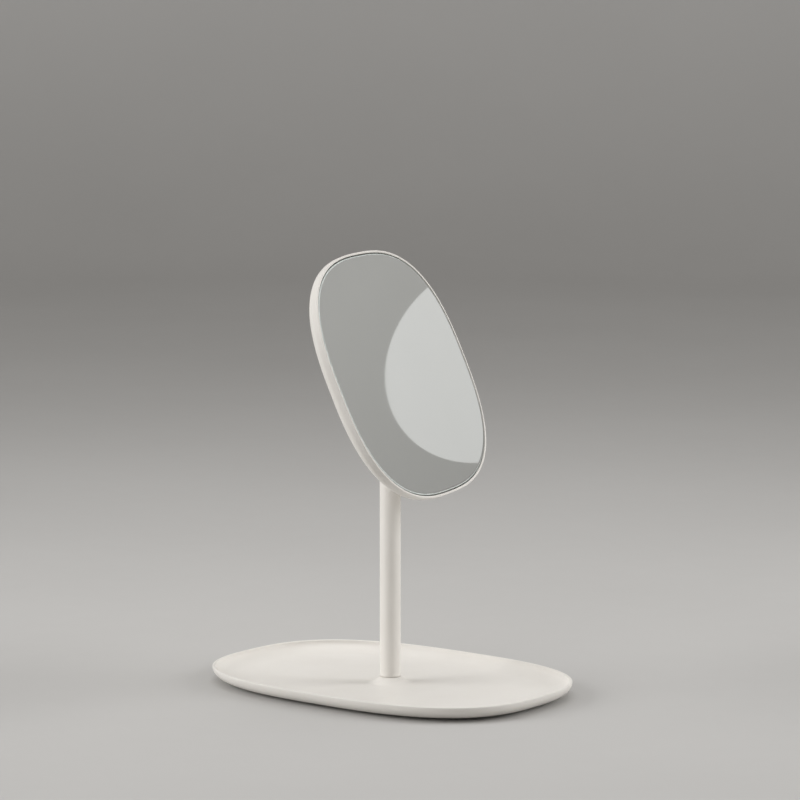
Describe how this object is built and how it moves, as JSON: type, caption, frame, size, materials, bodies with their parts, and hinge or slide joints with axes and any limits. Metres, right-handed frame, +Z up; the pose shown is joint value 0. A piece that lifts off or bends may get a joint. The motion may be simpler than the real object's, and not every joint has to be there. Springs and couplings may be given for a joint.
{
  "type": "countertop mirror",
  "caption": "Free-standing countertop mirror: a rounded oblong glass in a thin pan that swivels and tilts on a tube stem rising from a shallow oblong tray.",
  "frame": {"origin": "on the stem's axis, on the plane that the base pad rests on", "axes": "+Z up along the stem; +X along the tray's long side, towards the side that the glass mostly faces at rest; +Y along the tray's short side"},
  "size_m": [0.241, 0.2075, 0.2818],
  "materials": {
    "powder_coat": "fine satin powder coat, warm white, on steel sheet and tube",
    "mirror_glass": "clear float glass silvered on its back, ground edge",
    "pad_rubber": "dark matt non-slip rubber with a fine texture",
    "foam": "closed-cell foam, matt dark grey",
    "zinc_steel": "bright zinc-plated steel",
    "nylon": "natural nylon, matt"
  },
  "bodies": {
    "base": {"base_tray": "powder_coat", "base_pad": "pad_rubber", "stem_tube": "powder_coat", "stem_foot_plug": "zinc_steel", "stem_screw": "zinc_steel", "stem_washer": "zinc_steel", "swivel_bush": "nylon"},
    "swivel": {"swivel_head": "powder_coat", "swivel_wear_washer": "nylon", "swivel_disc_spring": "zinc_steel", "swivel_lock_nut": "zinc_steel", "hinge_washer_left": "nylon", "hinge_washer_right": "nylon"},
    "mirror_head": {"hinge_bracket": "powder_coat", "hinge_bolt": "zinc_steel", "hinge_spring_washer": "zinc_steel", "hinge_nut": "zinc_steel", "mirror_pan": "powder_coat", "mirror_glass": "mirror_glass", "foam_sheet": "foam", "nut_plate": "zinc_steel", "bracket_screw_1": "zinc_steel", "bracket_screw_2": "zinc_steel", "bracket_screw_3": "zinc_steel", "bracket_screw_4": "zinc_steel"}
  },
  "joints": [
    {"name": "stem_swivel", "type": "hinge", "parent": "base", "child": "swivel", "pos_m": [0, 0, 0.166], "axis": [0, 0, 1], "continuous": true},
    {"name": "mirror_tilt", "type": "hinge", "parent": "swivel", "child": "mirror_head", "pos_m": [0, 0, 0.178], "axis": [0.2672, -0.9636, 0], "range_deg": [-24, 42]}
  ]
}
